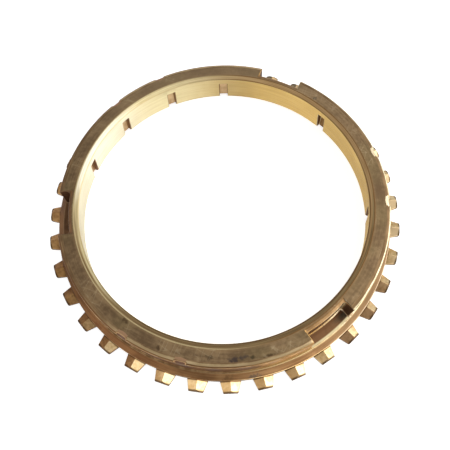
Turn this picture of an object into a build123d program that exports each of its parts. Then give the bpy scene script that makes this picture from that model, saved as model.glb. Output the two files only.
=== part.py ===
from build123d import *
import os
from math import hypot, radians, sin, sqrt, tan

# Synchronizer ring of a manual gearbox: one forged brass piece, turned and cut.
# Z is the ring's axis. The gear side lies on Z = 0 and the hub side faces up.
# Lengths are in millimetres and angles in degrees, counted from +X towards +Y.

# Cone bore, which grips the cone of the gear
bore_radius = 32.4
cone_half_angle = 6.5
mouth_bevel = 0.5

# Shallow bevel where the bore meets the hub-side face
entry_bevel_width = 1.05
entry_bevel_depth = 0.4

# Turned body above the toothed flange
ring_height = 8.4
wall_thickness = 3.7
rim_bevel_width = 1.0
rim_bevel_depth = 0.35

# Flange that carries the teeth: a narrow ledge, then a sloping shoulder
flange_height = 2.8
ledge_width = 0.3
shoulder_width = 1.65
shoulder_foot_height = 1.85

# Blocker teeth, which are pointed towards the hub
tooth_count = 36
tooth_length = 2.25
tooth_root_width = 4.2
tooth_tip_width = 2.95
tooth_ridge_height = 1.75
tooth_roof_slope = 31.0
tooth_overlap = 0.6
tooth_tip_bevel_width = 0.4
tooth_tip_bevel_depth = 0.55

# Slots for the sliding keys, open at the hub side and at the outside
slot_count = 3
first_slot_angle = 60.0
slot_width = 10.1
slot_depth = 2.4
slot_corner_radius = 0.6
slot_floor_radius = 0.5
slot_bevel_width = 0.65
slot_bevel_depth = 0.3

# Round scoops at the rim, two on each land, which slope down and out to the wall
notch_radius = 1.3
notch_slope = 50.0
notch_width_of_rim = 1.1
notch_angle_from_land_middle = 10.0

# Oil grooves in the bore, open at the gear side, none of them behind a slot
grooves_per_land = 4
groove_width = 2.0
groove_depth = 1.1
groove_top_height = 6.05
ungrooved_angle = 12.0

# Sizes that follow from the ones above
slot_pitch = 360.0 / slot_count
tooth_pitch = 360.0 / tooth_count
groove_pitch = slot_pitch / (grooves_per_land + 1)
body_radius = bore_radius + wall_thickness
root_radius = body_radius + shoulder_width
tip_radius = root_radius + tooth_length
entry_height = ring_height - entry_bevel_depth
throat_radius = bore_radius - (entry_height - mouth_bevel) * tan(radians(cone_half_angle))
slot_wall_radius = body_radius - slot_depth
notch_axis_radius = body_radius - notch_width_of_rim + notch_radius / sin(radians(notch_slope))
first_land_angle = first_slot_angle + slot_pitch / 2

# One blocker tooth on the X axis: a tapering plan, then a roof across it
tooth_start = root_radius - tooth_overlap
flank_taper = (tooth_root_width - tooth_tip_width) / tooth_length
tooth_start_width = tooth_root_width + flank_taper * tooth_overlap
tip_corner = sqrt(tip_radius**2 - (tooth_tip_width / 2) ** 2)
eaves_height = tooth_ridge_height - tooth_start_width / 2 * tan(radians(tooth_roof_slope))

with BuildPart() as tooth:
    with BuildSketch(Plane.XY):
        with BuildLine():
            Polyline(
                (tip_corner, tooth_tip_width / 2),
                (tooth_start, tooth_start_width / 2),
                (tooth_start, -tooth_start_width / 2),
                (tip_corner, -tooth_tip_width / 2),
            )
            ThreePointArc(
                (tip_corner, -tooth_tip_width / 2),
                (tip_radius, 0),
                (tip_corner, tooth_tip_width / 2),
            )
        make_face()
    extrude(amount=tooth_ridge_height)
    with BuildSketch(Plane.YZ):
        with BuildLine():
            Polyline(
                (-tooth_start_width / 2, 0),
                (tooth_start_width / 2, 0),
                (tooth_start_width / 2, eaves_height),
                (0, tooth_ridge_height),
                (-tooth_start_width / 2, eaves_height),
                close=True,
            )
        make_face()
    extrude(amount=tip_radius, mode=Mode.INTERSECT)
    # Bevel at the outer end of the ridge
    with BuildSketch(Plane.XZ):
        with BuildLine():
            Polyline(
                (tip_radius - tooth_tip_bevel_width, tooth_ridge_height),
                (tip_radius, tooth_ridge_height - tooth_tip_bevel_depth),
                (tip_radius, tooth_ridge_height),
                close=True,
            )
        make_face()
    extrude(amount=tooth_root_width, both=True, mode=Mode.SUBTRACT)

# Plan of the key slots
with BuildSketch() as slot_plan:
    with PolarLocations(root_radius, slot_count, start_angle=first_slot_angle):
        Rectangle(2 * (root_radius - slot_wall_radius + slot_depth), slot_width)

# What the key slots take away: rounded in their inner corners and along the floor
with BuildPart() as key_slots:
    with BuildSketch(Plane.XY.offset(flange_height)) as slot_floor:
        add(slot_plan.sketch)
        Circle(slot_wall_radius, mode=Mode.SUBTRACT)
        corners = [
            corner
            for corner in slot_floor.vertices()
            if abs(hypot(corner.X, corner.Y) - slot_wall_radius) < 0.01
        ]
        fillet(corners, slot_corner_radius)
    extrude(amount=ring_height - flange_height)
    floor_edges = key_slots.edges().filter_by(GeomType.CIRCLE).group_by(Axis.Z)[0]
    fillet(floor_edges, slot_floor_radius)

# Bevel between the hub-side face and the inner wall of each slot
with BuildPart() as slot_bevels:
    with BuildSketch(Plane.XZ):
        with BuildLine():
            Polyline(
                (slot_wall_radius - slot_bevel_width, ring_height),
                (slot_wall_radius + slot_bevel_width, ring_height - 2 * slot_bevel_depth),
                (slot_wall_radius + slot_bevel_width, ring_height),
                close=True,
            )
        make_face()
    revolve(axis=Axis.Z)
    extrude(slot_plan.sketch, amount=ring_height, mode=Mode.INTERSECT)

with BuildPart() as synchro_ring:
    # Section of the ring, turned about Z
    with BuildSketch(Plane.XZ):
        with BuildLine():
            Polyline(
                (bore_radius, mouth_bevel),
                (bore_radius + mouth_bevel, 0),
                (root_radius, 0),
                (root_radius, shoulder_foot_height),
                (body_radius + ledge_width, flange_height),
                (body_radius, flange_height),
                (body_radius, ring_height - rim_bevel_depth),
                (body_radius - rim_bevel_width, ring_height),
                (throat_radius + entry_bevel_width, ring_height),
                (throat_radius, entry_height),
                close=True,
            )
        make_face()
    revolve(axis=Axis.Z)

    # Teeth, set so that a gap lies on the middle of each slot
    with PolarLocations(0, tooth_count, start_angle=first_slot_angle + tooth_pitch / 2):
        add(tooth.part)

    # Key slots down to the ledge
    add(key_slots.part, mode=Mode.SUBTRACT)
    add(slot_bevels.part, mode=Mode.SUBTRACT)

    # Notches
    for side in (-1, 1):
        start = first_land_angle + side * notch_angle_from_land_middle
        with PolarLocations(0, slot_count, start_angle=start):
            with Locations(Location((notch_axis_radius, 0, ring_height), (0, 90 + notch_slope, 0))):
                Cylinder(notch_radius, tip_radius, mode=Mode.SUBTRACT)

    # Oil grooves up the cone from the gear side
    with BuildSketch(Plane.XY):
        for slot in range(slot_count):
            for groove in range(1, grooves_per_land + 1):
                angle = first_slot_angle + slot * slot_pitch + groove * groove_pitch
                if angle % 360 != ungrooved_angle:
                    with PolarLocations(bore_radius, 1, start_angle=angle):
                        Rectangle(2 * groove_depth, groove_width)
    extrude(amount=groove_top_height, mode=Mode.SUBTRACT)

synchro_ring.part.label = "synchro_ring"

os.makedirs("parts", exist_ok=True)
export_step(synchro_ring.part, "parts/synchro_ring.step")
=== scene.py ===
from math import atan2, ceil, cos, degrees, hypot, pi, radians, sin, sqrt, tan

import bmesh
import bpy
from mathutils import Matrix, Vector


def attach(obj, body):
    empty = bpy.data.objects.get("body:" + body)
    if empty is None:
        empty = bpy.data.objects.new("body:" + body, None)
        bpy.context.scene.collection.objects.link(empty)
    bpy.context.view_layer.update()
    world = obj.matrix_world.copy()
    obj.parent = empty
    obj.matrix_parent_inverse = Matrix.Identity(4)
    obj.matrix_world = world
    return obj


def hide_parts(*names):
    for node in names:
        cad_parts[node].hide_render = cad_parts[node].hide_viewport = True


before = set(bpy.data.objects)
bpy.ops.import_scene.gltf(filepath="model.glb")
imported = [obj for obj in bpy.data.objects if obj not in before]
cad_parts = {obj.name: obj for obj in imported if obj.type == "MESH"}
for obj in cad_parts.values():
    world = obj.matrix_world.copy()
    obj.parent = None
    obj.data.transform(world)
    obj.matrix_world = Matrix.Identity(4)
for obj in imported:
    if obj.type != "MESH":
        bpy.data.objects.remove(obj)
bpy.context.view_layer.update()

# A brass synchronizer ring lying on a white table, its hub side up.
# The ring's sizes are in millimetres, which MM turns into metres, and angles in degrees.
MM = 0.001

# Cone bore and its oil grooves
RING_HEIGHT = 8.4
BORE_RADIUS = 32.4
THROAT_RADIUS = 31.545
THROAT_HEIGHT = 8.0
MOUTH_BEVEL = 0.5
ENTRY_BEVEL_WIDTH = 1.05
GROOVE_WALL_RADIUS = 33.5
GROOVE_TOP = 6.05
GROOVE_HALF_ANGLE = 1.77
GROOVE_PITCH = 24.0
GROOVES_PER_LAND = 4
UNGROOVED_ANGLE = 12.0

# Body wall with the key slots and the scooped notches
BODY_RADIUS = 36.1
RIM_BEVEL_WIDTH = 1.0
RIM_BEVEL_DEPTH = 0.35
RIM_BEVEL_BELLY = 0.07
SLOT_COUNT = 3
FIRST_SLOT_ANGLE = 60.0
SLOT_PITCH = 360.0 / SLOT_COUNT
SLOT_WIDTH = 10.1
SLOT_WALL_RADIUS = 33.7
SLOT_CORNER_RADIUS = 0.6
SLOT_FLOOR_RADIUS = 0.5
SLOT_BEVEL_WIDTH = 0.65
SLOT_BEVEL_DEPTH = 0.3
SLOT_BEVEL_START = SLOT_WALL_RADIUS - SLOT_BEVEL_WIDTH
NOTCH_RADIUS = 1.3
NOTCH_SLOPE = 50.0
NOTCH_WIDTH_OF_RIM = 1.1
NOTCH_LIP_SOFTNESS = 0.25
NOTCH_FROM_LAND_MIDDLE = 10.0

# Flange and teeth
FLANGE_HEIGHT = 2.8
LEDGE_WIDTH = 0.3
ROOT_RADIUS = 37.75
SHOULDER_FOOT = 1.85
TOOTH_COUNT = 36
TIP_RADIUS = 40.0
TOOTH_ROOT_WIDTH = 4.2
TOOTH_TIP_WIDTH = 2.95
TOOTH_RIDGE = 1.75
TOOTH_ROOF_SLOPE = 31.0
TOOTH_SUNK = 0.6
TOOTH_LIFT = 0.02
TOOTH_END_GAP = 0.001
TOOTH_TIP_BEVEL_WIDTH = 0.4
TOOTH_TIP_BEVEL_DEPTH = 0.55

# The turned thread of the cone
THREAD_PITCH = 0.45
THREAD_DEPTH = 0.118
THREAD_LEAN = 0.45

# Places across the ring between which the bore's painted highlight, pale towards the left, gives
# way to its warm brass
BORE_HIGHLIGHT_TO_WARM = (-12, 14)
# Radii between which the hub-side face's inner corners and inner band fade out
INNER_CORNERS = (33.0, 33.4)
INNER_BAND = (32.8, 33.4)
# Cutting lines and clouds of tarnish, from their dark tone to their light one
PATCH_CONTRAST = (0.38, 0.62)

# Scratches of the hub-side face, with their turns in radians
SCRATCH_TURNS = (0.5, 2.1)
SCRATCH_STRETCH = 0.12
SCRATCH_SPACING = 1.4
SCRATCH_WIDTH = 0.03

# Fineness and size of a smudge's ragged edge, and the share of its reach that is full
SMUDGE_GRAIN = 1.8
SMUDGE_RAGGEDNESS = 1.8
SMUDGE_CORE = 0.3
# Smudges as radius, angle, reach, stretch round the axis and colour on a screen
HUB_FACE_SMUDGES = [
    (34.6, 266.4, 0.8, 1.7, (62, 52, 52)),
    (34.3, 269.6, 0.55, 2.0, (78, 66, 58)),
    (34.5, 272.4, 0.5, 1.5, (70, 60, 40)),
    (34.95, 277.4, 0.4, 4.5, (78, 58, 36)),
    (34.2, 258.7, 0.6, 1.5, (92, 74, 52)),
    (34.6, 242.3, 0.55, 1.0, (76, 56, 36)),
    (33.1, 228.1, 0.45, 2.0, (84, 64, 42)),
    (33.5, 42.5, 0.6, 1.0, (104, 92, 74)),
]
FLANGE_SMUDGES = [
    (37.2, 272.5, 1.0, 1.8, (84, 74, 64)),
    (37.2, 264.5, 1.0, 1.6, (104, 76, 48)),
    (37.1, 219.0, 1.0, 1.6, (96, 62, 38)),
]

# Fineness of the mesh, with angles in degrees
COLUMN_STEP = 0.8
SLOT_END_COLUMN = 8.4
CORNER_STEPS = 5
NOTCH_STEP = 0.2
NOTCH_COLUMNS = 18
STEP_GAP = 0.02
MERGE_DISTANCE = 0.03
EDGE_ROUNDING = 0.12
EDGE_SEGMENTS = 3
TOOTH_ROUNDING = 0.09
ROUNDED_ANGLE = 17.0
SHARP_ANGLE = 35.0

# Finishes of the brass, in the order of the mesh's material slots
FINISHES = [
    "turned_cone", "entry_bevel", "hub_face", "rim", "turned_wall", "milled_cut", "key_slot",
    "notch", "flange", "tooth_roof", "tooth_roof_lit", "tooth_flank", "gear_face", "edge_wear_and_highlight",
]


def polar(point):
    """Radius, angle and height of a point, in millimetres and degrees."""
    radius = hypot(point.x, point.y) / MM
    return radius, degrees(atan2(point.y, point.x)) % 360, point.z / MM


def from_polar(radius, angle, height):
    """The point, in metres, at a radius, angle and height."""
    turn = radians(angle)
    return Vector((radius * cos(turn), radius * sin(turn), height)) * MM


def turned_by(angle, centre):
    """How far an angle lies from a centre, from -180 to 180."""
    return (angle - centre + 180) % 360 - 180


def slot_angles():
    return [FIRST_SLOT_ANGLE + n * SLOT_PITCH for n in range(SLOT_COUNT)]


def notch_angles():
    middles = [angle + SLOT_PITCH / 2 for angle in slot_angles()]
    return [m + side * NOTCH_FROM_LAND_MIDDLE for m in middles for side in (-1, 1)]


def groove_angles():
    every = [
        (slot + n * GROOVE_PITCH) % 360
        for slot in slot_angles()
        for n in range(1, GROOVES_PER_LAND + 1)
    ]
    return [angle for angle in every if angle != UNGROOVED_ANGLE]


def slot_corner_start():
    """How far beside a slot's middle its inner wall turns into the rounded corner."""
    middle = SLOT_WIDTH / 2 - SLOT_CORNER_RADIUS
    return middle * SLOT_WALL_RADIUS / (SLOT_WALL_RADIUS + SLOT_CORNER_RADIUS)


def column_angles():
    """Angles at which the turned body needs a column of vertices."""
    stations = {0.0}
    first = slot_corner_start()
    corner = [
        first + (SLOT_WIDTH / 2 - first) * sin(radians(90 * n / CORNER_STEPS))
        for n in range(CORNER_STEPS)
    ]
    turns = [2 * y / SLOT_WIDTH * SLOT_END_COLUMN for y in corner]
    turns += [SLOT_END_COLUMN, SLOT_END_COLUMN - STEP_GAP]
    for centre in slot_angles():
        for turn in turns:
            stations |= {centre - turn, centre + turn}
    for centre in groove_angles():
        for half in (GROOVE_HALF_ANGLE, GROOVE_HALF_ANGLE - STEP_GAP):
            stations |= {centre - half, centre + half}
    for centre in notch_angles():
        for n in range(-NOTCH_COLUMNS, NOTCH_COLUMNS + 1):
            stations.add(centre + n * NOTCH_STEP)
    return sorted({round(angle % 360, 4) for angle in stations}) + [360.0]


def body_section():
    """Corners of the ring's section, as radius and height, starting in the bore."""
    slope = (BORE_RADIUS - THROAT_RADIUS) / (THROAT_HEIGHT - MOUTH_BEVEL)
    groove_end = [
        (BORE_RADIUS - (height - MOUTH_BEVEL) * slope, height)
        for height in (GROOVE_TOP, GROOVE_TOP - STEP_GAP)
    ]
    slot_floor = [
        (BODY_RADIUS, FLANGE_HEIGHT + SLOT_FLOOR_RADIUS * (1 - cos(radians(turn))))
        for turn in (0, 30, 60, 90)
    ]
    return [
        (THROAT_RADIUS, THROAT_HEIGHT),
        *groove_end,
        (BORE_RADIUS, MOUTH_BEVEL),
        (BORE_RADIUS + MOUTH_BEVEL, 0),
        (ROOT_RADIUS, 0),
        (ROOT_RADIUS, SHOULDER_FOOT),
        (BODY_RADIUS + LEDGE_WIDTH, FLANGE_HEIGHT),
        *slot_floor,
        (BODY_RADIUS, RING_HEIGHT - RIM_BEVEL_DEPTH),
        (BODY_RADIUS - RIM_BEVEL_WIDTH / 2, RING_HEIGHT - RIM_BEVEL_DEPTH / 2 + RIM_BEVEL_BELLY),
        (BODY_RADIUS - RIM_BEVEL_WIDTH, RING_HEIGHT),
        (SLOT_BEVEL_START, RING_HEIGHT),
        (THROAT_RADIUS + ENTRY_BEVEL_WIDTH, RING_HEIGHT),
    ]


def turn_section():
    """The plain turned body: its section spun round Z, column by column."""
    bm = bmesh.new()
    verts = [bm.verts.new(from_polar(r, 0, z)) for r, z in body_section()]
    for a, b in zip(verts, verts[1:] + verts[:1]):
        bm.edges.new((a, b))
    column = bm.verts[:] + bm.edges[:]
    stations = column_angles()
    for start, end in zip(stations, stations[1:]):
        spun = bmesh.ops.spin(
            bm, geom=column, cent=(0, 0, 0), axis=(0, 0, 1),
            angle=radians(end - start), steps=ceil((end - start) / COLUMN_STEP),
        )
        column = spun["geom_last"]
    bmesh.ops.remove_doubles(bm, verts=bm.verts, dist=STEP_GAP * MM / 20)
    return bm


def slot_wall(beside):
    """How far from the axis a slot's inner wall lies, beside the slot's middle."""
    if beside < slot_corner_start():
        return sqrt(SLOT_WALL_RADIUS**2 - beside**2)
    middle = SLOT_WIDTH / 2 - SLOT_CORNER_RADIUS
    centre = sqrt((SLOT_WALL_RADIUS + SLOT_CORNER_RADIUS) ** 2 - middle**2)
    return centre - sqrt(max(SLOT_CORNER_RADIUS**2 - (beside - middle) ** 2, 0))


def cut_slots(radius, angle, height):
    """Moves what lies in a key slot's mouth in to its wall, floor and bevel."""
    if radius < SLOT_BEVEL_START - STEP_GAP or height < FLANGE_HEIGHT - STEP_GAP:
        return radius, angle, height
    for centre in slot_angles():
        turn = turned_by(angle, centre)
        if abs(turn) > SLOT_END_COLUMN + STEP_GAP / 2:
            continue
        beside = turn / SLOT_END_COLUMN * SLOT_WIDTH / 2
        reach = sqrt(radius**2 - beside**2)
        in_mouth = abs(turn) < SLOT_END_COLUMN - STEP_GAP / 2
        on_ledge = height < FLANGE_HEIGHT + STEP_GAP and radius > BODY_RADIUS + STEP_GAP
        if in_mouth and radius > SLOT_BEVEL_START + STEP_GAP and not on_ledge:
            above_floor = max(SLOT_FLOOR_RADIUS - (height - FLANGE_HEIGHT), 0)
            reach = slot_wall(abs(beside)) + SLOT_FLOOR_RADIUS
            reach -= sqrt(SLOT_FLOOR_RADIUS**2 - above_floor**2)
            if height > RING_HEIGHT - RIM_BEVEL_DEPTH - STEP_GAP:
                down = SLOT_BEVEL_DEPTH / SLOT_BEVEL_WIDTH
                height = RING_HEIGHT - (hypot(reach, beside) - SLOT_BEVEL_START) * down
        return hypot(reach, beside), centre + degrees(atan2(beside, reach)), height
    return radius, angle, height


def cut_notches(radius, angle, height):
    """Moves the rim's two corners along the face and down the wall, to a notch's scoop."""
    on_face = abs(radius - (BODY_RADIUS - RIM_BEVEL_WIDTH)) < STEP_GAP
    on_wall = abs(height - (RING_HEIGHT - RIM_BEVEL_DEPTH)) < STEP_GAP
    if height < FLANGE_HEIGHT + 2 * SLOT_FLOOR_RADIUS or not (on_face or on_wall):
        return radius, angle, height
    slope = radians(NOTCH_SLOPE)
    for centre in notch_angles():
        turn = turned_by(angle, centre)
        if abs(turn) > NOTCH_COLUMNS * NOTCH_STEP + STEP_GAP:
            continue
        beside = radius * sin(radians(turn))
        rise = NOTCH_RADIUS - sqrt(max(NOTCH_RADIUS**2 - beside**2, 0))
        if on_face:
            depth = NOTCH_WIDTH_OF_RIM - RIM_BEVEL_WIDTH - rise / sin(slope)
            radius -= (depth + hypot(depth, NOTCH_LIP_SOFTNESS)) / 2
        else:
            depth = NOTCH_WIDTH_OF_RIM * tan(slope) - RIM_BEVEL_DEPTH - rise / cos(slope)
            height -= (depth + hypot(depth, NOTCH_LIP_SOFTNESS)) / 2
        break
    return radius, angle, height


def cut_grooves(radius, angle, height):
    """Moves the bore's wall out to the wall of an oil groove."""
    inside = any(
        abs(turned_by(angle, c)) < GROOVE_HALF_ANGLE - STEP_GAP / 2 for c in groove_angles()
    )
    if inside and radius < GROOVE_WALL_RADIUS and height < GROOVE_TOP - STEP_GAP / 2:
        radius = GROOVE_WALL_RADIUS
    return radius, angle, height


def finish_of(face):
    """The finish of a face of the body, from where it lies and which way it looks."""
    radius, angle, height = polar(face.calc_center_median())
    up = face.normal.z
    in_slot = any(abs(turned_by(angle, c)) < SLOT_END_COLUMN for c in slot_angles())
    beside_notch = min(abs(turned_by(angle, c)) for c in notch_angles())
    if height < STEP_GAP:
        return "gear_face"
    if height > RING_HEIGHT - STEP_GAP:
        return "hub_face"
    if height > THROAT_HEIGHT and radius < THROAT_RADIUS + ENTRY_BEVEL_WIDTH:
        return "entry_bevel"
    if radius < BORE_RADIUS + MOUTH_BEVEL and -0.8 < up < 0:
        in_groove = any(abs(turned_by(angle, c)) < GROOVE_HALF_ANGLE for c in groove_angles())
        return "milled_cut" if in_groove and height < GROOVE_TOP else "turned_cone"
    if radius < GROOVE_WALL_RADIUS + STEP_GAP and height < GROOVE_TOP + STEP_GAP:
        return "milled_cut"
    if height < FLANGE_HEIGHT - STEP_GAP:
        return "flange"
    if height < FLANGE_HEIGHT + STEP_GAP and radius > BODY_RADIUS:
        return "edge_wear_and_highlight"
    if in_slot:
        return "key_slot"
    on_rim = radius > BODY_RADIUS - NOTCH_WIDTH_OF_RIM and height > FLANGE_HEIGHT + STEP_GAP
    if up > 0.3 and on_rim:
        return "notch" if beside_notch < NOTCH_STEP * NOTCH_COLUMNS / 2 else "rim"
    return "turned_wall"


def cut_features(bm):
    """Cuts slots, notches and grooves by moving the vertices of the turned body."""
    for vert in bm.verts:
        place = polar(vert.co)
        for cut in (cut_slots, cut_notches, cut_grooves):
            place = cut(*place)
        vert.co = from_polar(*place)
    bmesh.ops.remove_doubles(bm, verts=bm.verts, dist=MERGE_DISTANCE * MM)
    bmesh.ops.dissolve_degenerate(bm, dist=MERGE_DISTANCE * MM / 3, edges=bm.edges)


def round_edges(bm, edges, offset, finish):
    """Rounds edges, which get a finish of their own."""
    rounded = bmesh.ops.bevel(
        bm, geom=edges, offset=offset * MM, offset_type="OFFSET", segments=EDGE_SEGMENTS,
        profile=0.5, affect="EDGES", clamp_overlap=False, material=-1,
    )
    for face in rounded["faces"]:
        face.material_index = FINISHES.index(finish)


def edges_to_round(bm):
    return [e for e in bm.edges if e.is_manifold and e.calc_face_angle() > radians(ROUNDED_ANGLE)]


def make_object(bm, name):
    """A mesh object at the origin, smooth except at its sharp edges."""
    bmesh.ops.recalc_face_normals(bm, faces=bm.faces)
    mesh = bpy.data.meshes.new(name)
    for finish in FINISHES:
        mesh.materials.append(brass[finish])
    bm.to_mesh(mesh)
    bm.free()
    mesh.shade_smooth()
    mesh.set_sharp_from_angle(angle=radians(SHARP_ANGLE))
    piece = bpy.data.objects.new(name, mesh)
    bpy.context.scene.collection.objects.link(piece)
    return piece


def slice_off(bm, point, outward):
    """Cuts off what lies outward of a plane through a point, and closes the cut."""
    bmesh.ops.bisect_plane(
        bm, geom=bm.verts[:] + bm.edges[:] + bm.faces[:],
        plane_co=Vector(point) * MM, plane_no=outward, clear_outer=True,
    )
    bmesh.ops.holes_fill(bm, edges=[e for e in bm.edges if e.is_boundary], sides=0)


def tooth_ring():
    """All the blocker teeth: one tapered block with a roof, repeated round Z."""
    bm = bmesh.new()
    bmesh.ops.create_cube(bm, size=1)
    start = ROOT_RADIUS - TOOTH_SUNK
    taper = (TOOTH_ROOT_WIDTH - TOOTH_TIP_WIDTH) / (TIP_RADIUS - ROOT_RADIUS)
    start_width = TOOTH_ROOT_WIDTH + taper * TOOTH_SUNK
    for vert in bm.verts:
        x, y, z = vert.co
        at_tip = x > 0
        width = TOOTH_TIP_WIDTH if at_tip else start_width
        height = TOOTH_RIDGE if z > 0 else TOOTH_LIFT
        vert.co = Vector((TIP_RADIUS if at_tip else start, y * width, height)) * MM
    slope = radians(TOOTH_ROOF_SLOPE)
    for side in (-1, 1):
        slice_off(bm, (0, 0, TOOTH_RIDGE), (0, side * sin(slope), cos(slope)))
    bevel_top = (TIP_RADIUS - TOOTH_TIP_BEVEL_WIDTH, 0, TOOTH_RIDGE)
    slice_off(bm, bevel_top, (TOOTH_TIP_BEVEL_DEPTH, 0, TOOTH_TIP_BEVEL_WIDTH))
    bmesh.ops.recalc_face_normals(bm, faces=bm.faces)
    for face in bm.faces:
        # Roof facets that face counter-clockwise get a paler copy of the roof's brass: painted
        # light for the lit side
        roof = "tooth_roof_lit" if face.normal.y > 0.1 else "tooth_roof"
        upright = "gear_face" if face.normal.z < -0.9 else "tooth_flank"
        face.material_index = FINISHES.index(roof if face.normal.z > 0.3 else upright)
    inner_end = (start + TOOTH_END_GAP) * MM
    shown = [e for e in edges_to_round(bm) if max(v.co.x for v in e.verts) > inner_end]
    round_edges(bm, shown, TOOTH_ROUNDING, "tooth_roof")
    pitch = 2 * pi / TOOTH_COUNT
    first = radians(FIRST_SLOT_ANGLE) + pitch / 2
    bmesh.ops.rotate(bm, verts=bm.verts, cent=(0, 0, 0), matrix=Matrix.Rotation(first, 3, "Z"))
    bmesh.ops.spin(
        bm, geom=bm.verts[:] + bm.edges[:] + bm.faces[:], cent=(0, 0, 0), axis=(0, 0, 1),
        angle=2 * pi - pitch, steps=TOOTH_COUNT - 1, use_duplicate=True,
    )
    return make_object(bm, "teeth")


def ring_body():
    """The turned body with its slots, notches and grooves, its edges rounded."""
    bm = turn_section()
    cut_features(bm)
    bmesh.ops.recalc_face_normals(bm, faces=bm.faces)
    for face in bm.faces:
        face.material_index = FINISHES.index(finish_of(face))
    round_edges(bm, edges_to_round(bm), EDGE_ROUNDING, "edge_wear_and_highlight")
    # No rounded corner stands above the hub-side face
    for vert in bm.verts:
        vert.co.z = min(vert.co.z, RING_HEIGHT * MM)
    return make_object(bm, "brass_ring")


def join_teeth(body, teeth):
    """One closed mesh of the body and its teeth."""
    union = body.modifiers.new("teeth", "BOOLEAN")
    union.operation = "UNION"
    union.solver = "EXACT"
    union.object = teeth
    depsgraph = bpy.context.evaluated_depsgraph_get()
    joined = bpy.data.meshes.new_from_object(body.evaluated_get(depsgraph))
    joined.set_sharp_from_angle(angle=radians(SHARP_ANGLE))
    body.modifiers.clear()
    body.data = joined
    bpy.data.objects.remove(teeth)
    body.modifiers.new("flat_faces_stay_flat", "WEIGHTED_NORMAL").keep_sharp = True


def screen(red, green, blue):
    """A colour given as it looks on a screen, from 0 to 255, made linear."""
    shares = [channel / 255 for channel in (red, green, blue)]
    return (*(s / 12.92 if s < 0.04045 else ((s + 0.055) / 1.055) ** 2.4 for s in shares), 1)


class Value:
    """A socket of a finish, so that shader maths reads as a sum."""

    def __init__(self, finish, socket):
        self.finish = finish
        self.socket = socket

    def maths(self, operation, *values):
        return self.finish.maths_of(operation, *values)

    def __add__(self, other):
        return self.maths("ADD", self, other)

    def __radd__(self, other):
        return self.maths("ADD", other, self)

    def __sub__(self, other):
        return self.maths("SUBTRACT", self, other)

    def __rsub__(self, other):
        return self.maths("SUBTRACT", other, self)

    def __mul__(self, other):
        return self.maths("MULTIPLY", self, other)

    def __rmul__(self, other):
        return self.maths("MULTIPLY", other, self)


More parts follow.
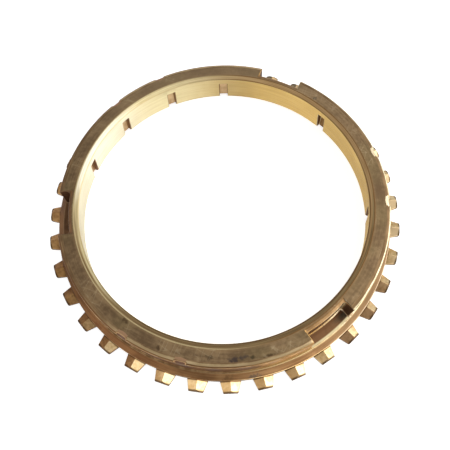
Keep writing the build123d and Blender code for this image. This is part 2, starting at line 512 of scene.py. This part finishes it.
class Finish:
    """One finish of the brass: a procedural material, measured in millimetres."""

    def __init__(self, name, metallic):
        self.material = bpy.data.materials.new(name)
        self.material.use_nodes = True
        self.tree = self.material.node_tree
        self.shader = self.tree.nodes["Principled BSDF"]
        self.shader.inputs["Metallic"].default_value = metallic
        metres = self.node("ShaderNodeTexCoord", output="Object")
        self.place = self.scaled(metres, 1 / MM)
        self.x, self.y, self.height = (
            self.node("ShaderNodeSeparateXYZ", sockets=[self.place], output=axis) for axis in "XYZ"
        )
        flat = self.node("ShaderNodeCombineXYZ", sockets=[self.x, self.y])
        self.radius = self.vector_of("LENGTH", flat, output="Value")
        self.direction = self.vector_of("NORMALIZE", flat)

    def node(self, kind, settings=None, sockets=(), output=0):
        """A new node with its settings and its sockets' values or links, as its output."""
        node = self.tree.nodes.new(kind)
        for name, value in (settings or {}).items():
            setattr(node, name, value)
        named = sockets.items() if isinstance(sockets, dict) else enumerate(sockets)
        for key, value in named:
            if isinstance(value, Value):
                self.tree.links.new(value.socket, node.inputs[key])
            else:
                node.inputs[key].default_value = value
        return Value(self, node.outputs[output])

    def maths_of(self, operation, *values):
        return self.node("ShaderNodeMath", {"operation": operation}, values)

    def vector_of(self, operation, *vectors, output=0):
        return self.node("ShaderNodeVectorMath", {"operation": operation}, vectors, output)

    def scaled(self, vector, factor):
        sockets = {0: vector, "Scale": factor}
        return self.node("ShaderNodeVectorMath", {"operation": "SCALE"}, sockets)

    def turned(self, vector, angle):
        """A vector turned round the ring's axis by an angle in radians."""
        sockets = {"Vector": vector, "Angle": angle}
        return self.node("ShaderNodeVectorRotate", {"rotation_type": "Z_AXIS"}, sockets)

    def noise(self, vector, scale, detail=2.0):
        """Noise from 0 to 1, with its grains 1 / scale apart."""
        sockets = {"Vector": vector, "Scale": scale, "Detail": detail}
        return self.node("ShaderNodeTexNoise", sockets=sockets)

    def marks(self, across, along_scale, across_scale):
        """Noise drawn out round the axis, as a cutting tool leaves it."""
        step = self.node("ShaderNodeCombineXYZ", sockets=[0, 0, across * across_scale])
        way_round = self.scaled(self.direction, along_scale)
        return self.noise(self.vector_of("ADD", way_round, step), 1.0)

    def between(self, value, low, high):
        """0 below low, 1 above high, and a smooth rise between them."""
        smooth = {"interpolation_type": "SMOOTHSTEP"}
        return self.node("ShaderNodeMapRange", smooth, [value, low, high])

    def to_right(self, low, high):
        """0 at the left of the ring, rising to 1 at its right, between two places."""
        return self.between(self.x, low, high)

    def to_far(self, low, high):
        """0 at the near side of the ring, rising to 1 at its far side, between two places."""
        return self.between(self.y, low, high)

    def patchy(self, lines, clouds):
        """Cutting lines and clouds of tarnish in equal parts, from 0 to 1."""
        return self.between(0.5 * lines + 0.5 * clouds, *PATCH_CONTRAST)

    def mixed(self, share, first, second):
        """A colour between two colours, which are sockets or given as on a screen."""
        first, second = (screen(*c) if isinstance(c, tuple) else c for c in (first, second))
        sockets = {0: share, 6: first, 7: second}
        return self.node("ShaderNodeMix", {"data_type": "RGBA"}, sockets, 2)

    def near(self, radius, angle, height, reach, stretch):
        """1 at a place of the ring, falling to 0 within reach, with a ragged border."""
        centre = from_polar(radius, angle, height) / MM
        offset = self.turned(self.vector_of("SUBTRACT", self.place, centre), -radians(angle))
        shrunk = self.vector_of("MULTIPLY", offset, (1, 1 / stretch, 1))
        gap = self.vector_of("LENGTH", shrunk, output="Value")
        ragged = gap + (self.noise(self.place, SMUDGE_GRAIN) - 0.5) * (SMUDGE_RAGGEDNESS * reach)
        return 1 - self.between(ragged, reach * SMUDGE_CORE, reach)

    def scratches(self):
        """Thin straight scratches, crossing each other, as lines of 1 on 0."""
        crossing = 0
        stretch = (SCRATCH_STRETCH, 1 / SCRATCH_SPACING, 0)
        for turn in SCRATCH_TURNS:
            drawn_out = self.vector_of("MULTIPLY", self.turned(self.place, turn), stretch)
            lines = self.noise(drawn_out, 1.0, 0)
            from_line = self.maths_of("ABSOLUTE", lines - 0.5)
            crossing += 1 - self.between(from_line, 0.0, SCRATCH_WIDTH)
        return crossing

    def feed(self, socket, value):
        self.tree.links.new(value.socket, self.shader.inputs[socket])

    def bumped(self, relief, depth):
        """Raises the surface by relief times depth millimetres."""
        sockets = {"Strength": 1.0, "Distance": depth * MM, "Height": relief}
        self.feed("Normal", self.node("ShaderNodeBump", sockets=sockets))


def turned_cone():
    """Bright brass, painted paler towards the left as a highlight, with the fine thread that the
    turning tool leaves round the cone.
    """
    finish = Finish("turned_cone", metallic=1)
    lines = finish.marks(finish.height, 3, 5)
    patches = finish.noise(finish.place, 0.12)
    tone = finish.between(0.6 * lines + 0.4 * patches, 0.35, 0.65)
    # Pale towards the left and palest at the far left: a painted highlight standing in for the
    # lamp's reflection; warm brass on the right
    pale_highlight = finish.mixed(tone, (222, 204, 152), (238, 224, 178))
    warm = finish.mixed(tone, (222, 184, 110), (238, 204, 128))
    palest_highlight = finish.mixed(tone, (230, 219, 188), (243, 236, 210))
    pale_highlight = finish.mixed(finish.to_right(-26, -12), palest_highlight, pale_highlight)
    side = finish.to_right(*BORE_HIGHLIGHT_TO_WARM)
    finish.feed("Base Color", finish.mixed(side, pale_highlight, warm))
    finish.feed("Roughness", 0.26 + 0.12 * patches)
    turn = finish.height * (2 * pi / THREAD_PITCH)
    thread = finish.maths_of("SINE", turn + THREAD_LEAN * finish.maths_of("SINE", turn))
    finish.bumped(thread + 0.3 * lines, THREAD_DEPTH)
    return finish.material


def entry_bevel():
    """Turned bevel of warm brass, painted pale towards the left as a highlight and brown on the
    near side as shade, with a dark line where it meets the cone.
    """
    finish = Finish("entry_bevel", metallic=1)
    lines = finish.marks(finish.radius, 4, 5)
    tone = finish.between(lines, 0.35, 0.65)
    # Pale towards the left and palest at the far left: painted highlight, as on the cone
    pale_highlight = finish.mixed(tone, (208, 188, 138), (234, 218, 170))
    warm = finish.mixed(tone, (184, 146, 98), (210, 174, 124))
    palest_highlight = finish.mixed(tone, (220, 210, 182), (238, 231, 208))
    far_left = (1 - finish.to_right(-26, -16)) * finish.to_far(-4, 6)
    pale_highlight = finish.mixed(far_left, pale_highlight, palest_highlight)
    # A middling tone at the sides, between the lit and the shaded parts: painted light
    middling = finish.mixed(tone, (172, 152, 112), (198, 180, 138))
    turning = finish.to_far(-9, -3) * (1 - finish.to_far(0, 8))
    pale_highlight = finish.mixed(turning, pale_highlight, middling)
    bright = finish.mixed(finish.to_right(*BORE_HIGHLIGHT_TO_WARM), pale_highlight, warm)
    # Brown on the near side, and over the outer part there: painted shade
    brown = finish.mixed(tone, (140, 114, 78), (172, 144, 102))
    bright = finish.mixed(finish.to_far(-25, -15), brown, bright)
    near_side_shade = finish.between(finish.radius, THROAT_RADIUS + 0.5, THROAT_RADIUS + 0.7)
    near_side_shade = near_side_shade * (1 - finish.to_far(-9, 1))
    bright = finish.mixed(near_side_shade, bright, brown)
    # A dark line at the throat, strongest on the near and right sides
    line = finish.between(finish.radius, THROAT_RADIUS + 0.12, THROAT_RADIUS + 0.4)
    near_side = 1 - finish.between(finish.y - 0.35 * finish.x, -16, 4)
    right_side = 0.6 * finish.to_right(14, 26)
    dark_throat_line = finish.maths_of("MAXIMUM", near_side, right_side) * (1 - line)
    finish.feed("Base Color", finish.mixed(0.75 * dark_throat_line, bright, (84, 58, 34)))
    finish.feed("Roughness", 0.32 + 0.1 * lines)
    finish.bumped(lines, 0.03)
    return finish.material


def hub_face():
    """Flat face with a brown and olive tarnish, dark smudges and light scratches."""
    finish = Finish("hub_face", metallic=0.85)
    clouds = finish.noise(finish.place, 0.16, 3)
    grain = finish.noise(finish.place, 1.3, 3)
    lines = finish.marks(finish.radius, 6, 2.5)
    tone = finish.between(0.45 * clouds + 0.3 * grain + 0.25 * lines, 0.38, 0.62)
    colour = finish.mixed(tone, (113, 90, 64), (151, 125, 91))
    olive = finish.between(finish.noise(finish.place, 0.07), 0.5, 0.65)
    colour = finish.mixed(0.3 * olive, colour, (120, 108, 70))
    inner_band = 1 - finish.between(finish.radius, *INNER_BAND)
    colour = finish.mixed(0.2 * inner_band, colour, (172, 140, 98))
    # Lighter towards the far side: painted sheen standing in for the lamps' reflection on the flat
    # face
    far_side = finish.to_far(8, 32)
    colour = finish.mixed(0.35 * far_side, colour, (178, 152, 116))
    for radius, angle, reach, stretch, smudge in HUB_FACE_SMUDGES:
        there = finish.near(radius, angle, RING_HEIGHT, reach, stretch)
        colour = finish.mixed(0.8 * there, colour, smudge)
    scratched = finish.scratches() * finish.between(clouds, 0.5, 0.62)
    colour = finish.mixed(0.3 * scratched, colour, (206, 184, 146))
    finish.feed("Base Color", colour)
    finish.feed("Roughness", 0.42 + 0.2 * grain)
    finish.bumped(grain + lines, 0.02)
    return finish.material


def rim():
    """Bevel round the hub-side face, painted lighter than the face along its outer half as a
    highlight, except at the far left, and its outermost strip painted golden on the right and dark
    on the left as light and shade.
    """
    finish = Finish("rim", metallic=1)
    lines = finish.marks(finish.radius, 5, 4)
    clouds = finish.noise(finish.place, 0.4, 3)
    tone = finish.patchy(lines, clouds)
    # The lighter band is a painted highlight, paler and wider on the right and missing at the far
    # left
    painted_light = finish.mixed(tone, (196, 168, 124), (226, 198, 152))
    bright = finish.mixed(tone, (208, 196, 158), (234, 223, 190))
    painted_light = finish.mixed(finish.to_right(14, 24), painted_light, bright)
    tarnished = finish.mixed(tone, (122, 97, 69), (156, 128, 93))
    wavy = finish.radius + 0.25 * (clouds - 0.5) - 0.5 * finish.to_right(12, 24)
    outer = finish.between(wavy, BODY_RADIUS - 0.88, BODY_RADIUS - 0.68)
    outer = outer * finish.to_right(-30, -18)
    colour = finish.mixed(outer, tarnished, painted_light)
    # The outermost strip, golden on the right and dark brown on the left: painted light and shade
    golden = finish.to_right(-2, 8)
    wall = finish.mixed(golden, (118, 84, 54), (178, 138, 88))
    over_wall = finish.between(wavy, BODY_RADIUS - 0.42, BODY_RADIUS - 0.22)
    finish.feed("Base Color", finish.mixed(over_wall, colour, wall))
    finish.feed("Roughness", 0.62 - 0.28 * outer)
    finish.bumped(lines, 0.02)
    return finish.material


def turned_wall():
    """Turned outside wall, golden on the right and dark on the left as painted light and shade,
    and browner down where it meets the ledge as painted shade.
    """
    finish = Finish("turned_wall", metallic=0.9)
    lines = finish.marks(finish.height, 5, 3)
    clouds = finish.noise(finish.place, 0.3, 3)
    tone = finish.patchy(lines, clouds)
    clean = finish.mixed(tone, (90, 58, 34), (122, 82, 48))
    dusty = finish.mixed(tone, (132, 104, 76), (168, 134, 100))
    clean = finish.mixed(finish.to_right(-28, -18), dusty, clean)
    # Golden on the right and dark elsewhere: painted light and shade
    golden = finish.mixed(tone, (178, 136, 80), (210, 168, 108))
    clean = finish.mixed(finish.to_right(-2, 8), clean, golden)
    # Browner down where the wall meets the ledge: painted shade in the corner
    foot = finish.between(finish.height, FLANGE_HEIGHT + 0.15, FLANGE_HEIGHT + 0.9)
    colour = finish.mixed(foot, (104, 68, 40), clean)
    smudged = finish.near(BODY_RADIUS, 273, 4.5, 1.6, 1.5)
    finish.feed("Base Color", finish.mixed(0.5 * smudged, colour, (92, 84, 78)))
    finish.feed("Roughness", 0.36 + 0.16 * clouds)
    finish.bumped(lines, 0.03)
    return finish.material


def milled_cut():
    """Walls of the oil grooves, darker towards the bore, and paler on the left as a painted
    highlight.
    """
    finish = Finish("milled_cut", metallic=0.9)
    clouds = finish.noise(finish.place, 0.6, 3)
    lines = finish.marks(finish.radius, 3, 4)
    tone = finish.patchy(lines, clouds)
    # Paler on the left and golden on the right: painted highlight, as on the cone
    clean = finish.mixed(tone, (212, 178, 132), (240, 210, 164))
    golden = finish.mixed(tone, (146, 108, 62), (176, 136, 84))
    clean = finish.mixed(finish.to_right(2, 16), clean, golden)
    floor = finish.between(finish.radius, GROOVE_WALL_RADIUS - 0.35, GROOVE_WALL_RADIUS - 0.05)
    finish.feed("Base Color", finish.mixed(floor, (140, 106, 74), clean))
    finish.feed("Roughness", 0.38 + 0.16 * clouds)
    finish.bumped(lines, 0.03)
    return finish.material


def key_slot():
    """Milled key slot: its bevel and the floor's outer edge painted light on the right as
    highlights, its floor rounding, the floor beside its inner wall and its ends dark as painted
    shade.
    """
    finish = Finish("key_slot", metallic=0.9)
    clouds = finish.noise(finish.place, 0.6, 3)
    lines = finish.marks(finish.height, 3, 4)
    tone = finish.patchy(lines, clouds)
    floor = finish.mixed(tone, (94, 66, 44), (130, 95, 64))
    grey = finish.mixed(tone, (66, 56, 43), (96, 84, 66))
    in_shade = finish.between(finish.y + 1.2 * clouds, -29.4, -27.0)
    in_shade = in_shade * (1 - finish.to_far(-22, -14))
    floor = finish.mixed(in_shade, floor, grey)
    # A cream strip along the floor's outer edge on the right: painted highlight
    cream = finish.between(finish.radius, BODY_RADIUS - 0.35, BODY_RADIUS - 0.1)
    floor = finish.mixed(cream * finish.to_right(0, 8), floor, (226, 208, 162))
    wall = finish.mixed(tone, (84, 56, 36), (124, 88, 58))
    bevel = finish.mixed(tone, (148, 114, 76), (182, 146, 102))
    # The bevel is lighter than the floor only on the right: painted highlight
    bevel = finish.mixed(finish.to_right(-20, -10), floor, bevel)
    # The floor takes the wall's dark colour next to the inner wall: painted shade in the corner
    ragged = finish.radius + 0.35 * (clouds - 0.5)
    off_wall = finish.between(ragged, SLOT_WALL_RADIUS + 0.7, SLOT_WALL_RADIUS + 1.3)
    floor = finish.mixed(off_wall, wall, floor)
    on_wall = finish.between(finish.height, FLANGE_HEIGHT + 0.02, FLANGE_HEIGHT + 0.25)
    on_bevel = finish.between(finish.height, RING_HEIGHT - 0.42, RING_HEIGHT - 0.32)
    colour = finish.mixed(on_bevel, finish.mixed(on_wall, floor, wall), bevel)
    finish.feed("Base Color", colour)
    finish.feed("Roughness", 0.38 + 0.16 * clouds)
    finish.bumped(lines, 0.03)
    return finish.material


def notch():
    """Scooped notch, painted dark inside as shade, with its upper lip painted lighter as a
    highlight, paler still on the right.
    """
    finish = Finish("notch", metallic=0.9)
    clouds = finish.noise(finish.place, 0.9, 3)
    # Dark inside the scoop as painted shade, lighter at the upper lip as painted highlight
    scoop = finish.mixed(clouds, (84, 54, 34), (122, 84, 56))
    ragged = finish.height + 0.2 * (clouds - 0.5)
    lip = finish.between(ragged, RING_HEIGHT - 0.4, RING_HEIGHT - 0.2)
    colour = finish.mixed(lip, scoop, (184, 144, 110))
    # Paler on the right: painted highlight
    painted_light = finish.to_right(12, 26)
    finish.feed("Base Color", finish.mixed(painted_light, colour, (230, 212, 176)))
    finish.feed("Roughness", 0.36 + 0.16 * clouds)
    return finish.material


def flange():
    """Shoulder of the flange: smooth golden brown, with turning lines round the axis, painted
    darker on the left and between the teeth as shade, and greyer on the right, with light lines at
    its foot and crest there, as painted reflection and highlights.
    """
    finish = Finish("flange", metallic=1)
    lines = finish.marks(finish.height, 4, 6)
    clouds = finish.noise(finish.place, 0.25, 3)
    tone = finish.between(0.5 * lines + 0.5 * clouds, 0.36, 0.64)
    clean = finish.mixed(tone, (122, 88, 56), (156, 119, 80))
    # Darker on the left as painted shade, and greyer on the right as painted reflection
    left_side = finish.mixed(tone, (98, 66, 41), (128, 91, 58))
    clean = finish.mixed(finish.to_right(-24, 0), left_side, clean)
    clean = finish.mixed(0.5 * finish.to_right(12, 24), clean, (138, 114, 84))
    for radius, angle, reach, stretch, smudge in FLANGE_SMUDGES:
        there = finish.near(radius, angle, SHOULDER_FOOT, reach, stretch)
        clean = finish.mixed(0.75 * there, clean, smudge)
    # Dark low down between the teeth: painted shade
    foot = finish.between(finish.height, SHOULDER_FOOT - 0.75, SHOULDER_FOOT - 0.15)
    colour = finish.mixed(foot, (96, 68, 44), clean)
    # A light line along the shoulder's foot and a lighter crest, on the right: painted highlights
    foot_line = 1 - finish.between(finish.height, SHOULDER_FOOT + 0.06, SHOULDER_FOOT + 0.2)
    foot_line = 0.8 * foot_line * finish.to_right(14, 24)
    colour = finish.mixed(foot_line, colour, (240, 208, 172))
    crest = 0.35 * finish.between(finish.height, FLANGE_HEIGHT - 0.22, FLANGE_HEIGHT - 0.08)
    crest = crest * finish.to_right(4, 16)
    finish.feed("Base Color", finish.mixed(crest, colour, (222, 194, 142)))
    finish.feed("Roughness", 0.3 + 0.14 * clouds)
    finish.bumped(lines, 0.015)
    return finish.material


def tooth_roof(name, dark, light, left_side, right_side_from, ruddiness):
    """A roof facet of the teeth: smooth brass, with painted light and shade laid out round the
    ring, dark at its root and tip as painted shade.
    """
    finish = Finish(name, metallic=1)
    clouds = finish.noise(finish.place, 0.35, 3)
    grain = finish.noise(finish.place, 1.8, 2)
    tone = finish.between(0.6 * clouds + 0.4 * grain, 0.38, 0.62)
    clean = finish.mixed(tone, dark, light)
    # Palest at the far right: painted highlight
    clean = finish.mixed(ruddiness * finish.to_right(33, 37), clean, (250, 220, 172))
    # Darker on the left as painted shade, golden at the far left as painted highlight
    left_side = finish.mixed(tone, *left_side)
    far_left = 1 - finish.between(finish.x - 0.3 * finish.y, -39, -36)
    painted_light = finish.mixed(tone, (178, 132, 84), (218, 172, 116))
    left_side = finish.mixed(0.8 * far_left, left_side, painted_light)
    # Ruddy on the right and ochre near the middle: painted shade
    ruddy = finish.mixed(tone, (132, 92, 62), (166, 122, 86))
    ruddy_side = finish.to_right(17, 21) * (1 - finish.to_right(30, 35))
    clean = finish.mixed(ruddiness * ruddy_side, clean, ruddy)
    ochre_side = finish.to_right(-8, 0) * (1 - finish.to_right(8, 16))
    clean = finish.mixed(0.7 * ruddiness * ochre_side, clean, (186, 136, 76))
    colour = finish.mixed(finish.to_right(right_side_from - 8, right_side_from + 8), left_side, clean)
    # Greyer on the far side: painted shade
    far_side = finish.to_far(18, 30)
    colour = finish.mixed(0.8 * far_side, colour, (116, 102, 80))
    # Dark at the root and at the tip: painted shade
    root = finish.between(finish.radius, ROOT_RADIUS + 0.02, ROOT_RADIUS + 0.3)
    colour = finish.mixed(root, (104, 70, 42), colour)
    tip = finish.between(finish.radius, TIP_RADIUS - 0.5, TIP_RADIUS - 0.2)
    finish.feed("Base Color", finish.mixed(0.9 * tip, colour, (88, 64, 40)))
    finish.feed("Roughness", 0.24 + 0.16 * grain)
    finish.bumped(grain, 0.02)
    return finish.material


def tooth_flank():
    """Upright flanks and ends of the teeth, dark."""
    finish = Finish("tooth_flank", metallic=0.8)
    clouds = finish.noise(finish.place, 0.8, 3)
    finish.feed("Base Color", finish.mixed(clouds, (74, 62, 48), (128, 104, 74)))
    finish.feed("Roughness", 0.45 + 0.16 * clouds)
    return finish.material


def gear_face():
    """Flat underside, turned bright."""
    finish = Finish("gear_face", metallic=1)
    lines = finish.marks(finish.radius, 2, 3)
    clouds = finish.noise(finish.place, 0.2, 3)
    tone = finish.between(0.6 * lines + 0.4 * clouds, 0.36, 0.64)
    finish.feed("Base Color", finish.mixed(tone, (170, 132, 80), (208, 172, 112)))
    finish.feed("Roughness", 0.3 + 0.15 * clouds)
    finish.bumped(lines, 0.03)
    return finish.material


def edge_wear_and_highlight():
    """Rounded edges, bright from wear and painted highlight: bright on the right and dull on the
    left, the ledge painted golden and the bore's inner corners painted pale on the left.
    """
    finish = Finish("edge_wear_and_highlight", metallic=1)
    clouds = finish.noise(finish.place, 0.8, 2)
    tone = finish.between(clouds, 0.35, 0.65)
    dull = finish.mixed(tone, (134, 102, 68), (172, 138, 98))
    dull = finish.mixed(finish.to_right(-33, -29), (118, 92, 66), dull)
    bright = finish.mixed(tone, (214, 192, 148), (244, 229, 190))
    # The ledge's outer half painted golden, and the edges bright on the right and dull on the
    # left: painted highlight and shade
    ledge = finish.between(finish.radius, BODY_RADIUS + LEDGE_WIDTH / 2, BODY_RADIUS + LEDGE_WIDTH)
    golden = finish.mixed(ledge, (176, 138, 86), (250, 216, 156))
    bright = finish.mixed(finish.to_right(14, 22), golden, bright)
    high = finish.between(finish.height, FLANGE_HEIGHT + 1, FLANGE_HEIGHT + 2)
    at_wall = finish.between(finish.radius, BODY_RADIUS - 0.3, BODY_RADIUS - 0.2)
    bright_from = finish.x - 16 * high * at_wall
    colour = finish.mixed(finish.between(bright_from, -6, 8), dull, bright)
    # The far end of the slot at 300 degrees lies in its own shade
    shaded = finish.near(BODY_RADIUS - 1.4, 308.4, RING_HEIGHT, 3.2, 1)
    colour = finish.mixed(0.85 * shaded, colour, (84, 62, 42))
    shaded = finish.near(BODY_RADIUS - 0.8, 307.4, FLANGE_HEIGHT + 0.4, 2.4, 1)
    colour = finish.mixed(0.6 * shaded, colour, (140, 96, 76))
    far_left = 1 - finish.to_right(-30, -24)
    inner = 1 - finish.between(finish.radius + 0.35 * far_left, *INNER_CORNERS)
    inner = inner * finish.between(finish.height, THROAT_HEIGHT - 0.3, THROAT_HEIGHT - 0.15)
    # The bore's inner corners, pale on the left and brown on the right: painted highlight and
    # shade
    painted_light = finish.mixed(finish.to_right(-12, 10), (216, 194, 146), (140, 106, 68))
    finish.feed("Base Color", finish.mixed(inner, colour, painted_light))
    finish.feed("Roughness", 0.24 + 0.16 * clouds)
    return finish.material


brass = {
    "turned_cone": turned_cone(),
    "entry_bevel": entry_bevel(),
    "hub_face": hub_face(),
    "rim": rim(),
    "turned_wall": turned_wall(),
    "milled_cut": milled_cut(),
    "key_slot": key_slot(),
    "notch": notch(),
    "flange": flange(),
    "tooth_roof": tooth_roof(
        "tooth_roof", (216, 176, 118), (244, 210, 156),
        ((136, 96, 60), (176, 130, 84)), -17, 0.75,
    ),
    "tooth_roof_lit": tooth_roof(
        "tooth_roof_lit", (216, 182, 126), (244, 220, 172),
        ((134, 97, 59), (178, 134, 83)), -29, 0,
    ),
    "tooth_flank": tooth_flank(),
    "gear_face": gear_face(),
    "edge_wear_and_highlight": edge_wear_and_highlight(),
}

ring = ring_body()
join_teeth(ring, tooth_ring())
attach(ring, "root")
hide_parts("synchro_ring")


# White table, in metres
TABLE_WIDTH = 4.0
TABLE_COLOUR = (0.8, 0.8, 0.8, 1)
TABLE_ROUGHNESS = 0.9
TABLE_GLOW_SEEN = 0.75
TABLE_GLOW_REFLECTED = 0.3

bm = bmesh.new()
bmesh.ops.create_grid(bm, x_segments=1, y_segments=1, size=TABLE_WIDTH / 2)
table_mesh = bpy.data.meshes.new("table")
bm.to_mesh(table_mesh)
bm.free()
table = bpy.data.objects.new("table", table_mesh)
bpy.context.scene.collection.objects.link(table)

white = Finish("white_table", metallic=0)
seen, mirrored, shown_through = (
    white.node("ShaderNodeLightPath", output=f"Is {ray} Ray")
    for ray in ("Camera", "Glossy", "Transmission")
)
glow = seen * TABLE_GLOW_SEEN + (mirrored + shown_through) * TABLE_GLOW_REFLECTED
white.shader.inputs["Base Color"].default_value = TABLE_COLOUR
white.shader.inputs["Roughness"].default_value = TABLE_ROUGHNESS
white.shader.inputs["Emission Strength"].default_value = 1
white.feed("Emission Color", glow)
table_mesh.materials.append(white.material)

# Studio light, in metres: softboxes round the ring and overhead, in a grey room.
# The room looks white to the camera and grey to the ring.
ROOM_LIGHT = 0.45
ROOM_LIGHT_REFLECTED = 0.5
LAMP_DISTANCE = 0.5
# Softboxes as name, azimuth, elevation, width, height and brightness
SOFTBOXES = [
    ("right_softbox", 4, 28, 0.46, 0.34, 2.7),
    ("right_front_softbox", -32, 38, 0.2, 0.2, 1.4),
    ("front_softbox", -62, 11, 0.6, 0.17, 2.6),
    ("overhead_softbox", 20, 67, 0.22, 0.18, 2.4),
    ("left_softbox", 166, 24, 0.3, 0.2, 0.95),
    ("left_front_softbox", 218, 11, 0.45, 0.17, 1.6),
]

world = bpy.data.worlds.new("studio")
bpy.context.scene.world = world
world.use_nodes = True
nodes, links = world.node_tree.nodes, world.node_tree.links
path = nodes.new("ShaderNodeLightPath")
bounced = nodes.new("ShaderNodeMath")
links.new(path.outputs["Is Glossy Ray"], bounced.inputs[0])
links.new(path.outputs["Is Transmission Ray"], bounced.inputs[1])
reflected = nodes.new("ShaderNodeMapRange")
reflected.inputs["To Min"].default_value = ROOM_LIGHT
reflected.inputs["To Max"].default_value = ROOM_LIGHT_REFLECTED
links.new(bounced.outputs["Value"], reflected.inputs["Value"])
level = nodes.new("ShaderNodeMapRange")
level.inputs["To Max"].default_value = 1
links.new(reflected.outputs["Result"], level.inputs["To Min"])
links.new(path.outputs["Is Camera Ray"], level.inputs["Value"])
links.new(level.outputs["Result"], nodes["Background"].inputs["Strength"])
nodes["Background"].inputs["Color"].default_value = (1, 1, 1, 1)


def direction(azimuth, elevation):
    """The way from the ring to a place round and above it."""
    side, rise = radians(azimuth), radians(elevation)
    return Vector((cos(rise) * cos(side), cos(rise) * sin(side), sin(rise)))


def facing(way):
    """The turn of a lamp or camera that looks back along a way."""
    return way.to_track_quat("Z", "Y").to_matrix().to_4x4()


def softbox(name, azimuth, elevation, width, height, brightness):
    """A soft lamp that faces the ring. Its brightness is 1 where it looks plain white."""
    way = direction(azimuth, elevation)
    lamp_data = bpy.data.lights.new(name, "AREA")
    lamp_data.shape = "RECTANGLE"
    lamp_data.size = width
    lamp_data.size_y = height
    lamp_data.energy = brightness * pi * width * height
    lamp = bpy.data.objects.new(name, lamp_data)
    lamp.matrix_world = Matrix.Translation(way * LAMP_DISTANCE) @ facing(way)
    bpy.context.scene.collection.objects.link(lamp)


for lamp in SOFTBOXES:
    softbox(*lamp)


# Camera, measured from the photo's circles and evenly spaced features, its centre in pixels
CAMERA_AZIMUTH = -93.434
CAMERA_ELEVATION = 65.711
CAMERA_DISTANCE = 110.70
CAMERA_PAN = -1.597
CAMERA_TILT = 1.056
CAMERA_ROLL = -3.535
BORE_EDGE_HEIGHT = 0.5
FOCAL_LENGTH = 38.01
SENSOR_WIDTH = 36
NEAREST_SEEN = 1.0
PHOTO_WIDTH = 450
IMAGE_CENTRE = (237.85, 199.0)

away = direction(CAMERA_AZIMUTH, CAMERA_ELEVATION)
camera_data = bpy.data.cameras.new("camera")
camera = bpy.data.objects.new("camera", camera_data)
bpy.context.scene.collection.objects.link(camera)
bpy.context.scene.camera = camera
look = facing(away)
for angle, axis in ((CAMERA_PAN, "Y"), (CAMERA_TILT, "X"), (CAMERA_ROLL, "Z")):
    look = look @ Matrix.Rotation(radians(angle), 4, axis)
stand = away * CAMERA_DISTANCE * MM + Vector((0, 0, BORE_EDGE_HEIGHT * MM))
camera.matrix_world = Matrix.Translation(stand) @ look
camera_data.lens = FOCAL_LENGTH
camera_data.sensor_width = SENSOR_WIDTH
camera_data.shift_x = 0.5 - IMAGE_CENTRE[0] / PHOTO_WIDTH
camera_data.shift_y = IMAGE_CENTRE[1] / PHOTO_WIDTH - 0.5
camera_data.clip_start = NEAREST_SEEN * MM

bpy.context.scene.view_settings.view_transform = "Standard"
